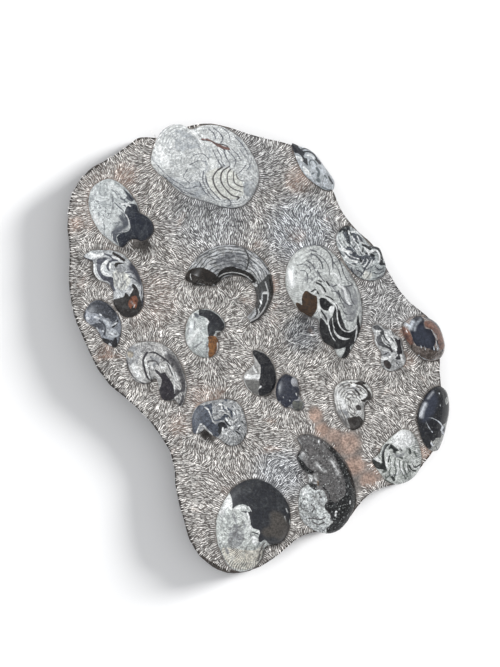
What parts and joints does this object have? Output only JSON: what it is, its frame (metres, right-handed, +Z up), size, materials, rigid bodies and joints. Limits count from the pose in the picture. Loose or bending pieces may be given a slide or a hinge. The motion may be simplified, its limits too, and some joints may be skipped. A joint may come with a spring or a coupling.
{
  "type": "ammonite fossil plate",
  "caption": "Flat-backed limestone slab with polished domed ammonites standing out of its chisel-carved top. It lies on its cut back.",
  "frame": {"origin": "middle of the flat cut back's box, on the surface it rests on", "axes": "+Z up out of the carved face, +Y towards the wide end with the largest ammonite, +X to the right"},
  "size_m": [0.5004, 0.5946, 0.0648],
  "materials": {
    "matrix": "chisel-carved limestone, dry and rough",
    "pale_shell": "polished white and grey calcite",
    "banded_shell": "polished calcite banded white, grey and slate",
    "black_shell": "polished black limestone filling"
  },
  "bodies": {
    "root": {"matrix": "matrix", "ammonite_top_large": "pale_shell", "ammonite_top_right": "pale_shell", "ammonite_upper_left": "banded_shell", "ammonite_left_crescent": "banded_shell", "ammonite_left_small": "banded_shell", "ammonite_open_whorl": "black_shell", "ammonite_right_large": "banded_shell", "ammonite_right_upper": "banded_shell", "ammonite_right_dome": "black_shell", "ammonite_right_middle": "banded_shell", "ammonite_lower_left": "pale_shell", "ammonite_middle_round": "banded_shell", "ammonite_lower_middle": "banded_shell", "ammonite_small_black": "black_shell", "ammonite_small_blue": "black_shell", "ammonite_lower_right_pale": "pale_shell", "ammonite_right_black": "black_shell", "ammonite_lower_right_edge": "banded_shell", "ammonite_bottom_long": "black_shell", "ammonite_bottom_large": "banded_shell"}
  },
  "joints": []
}
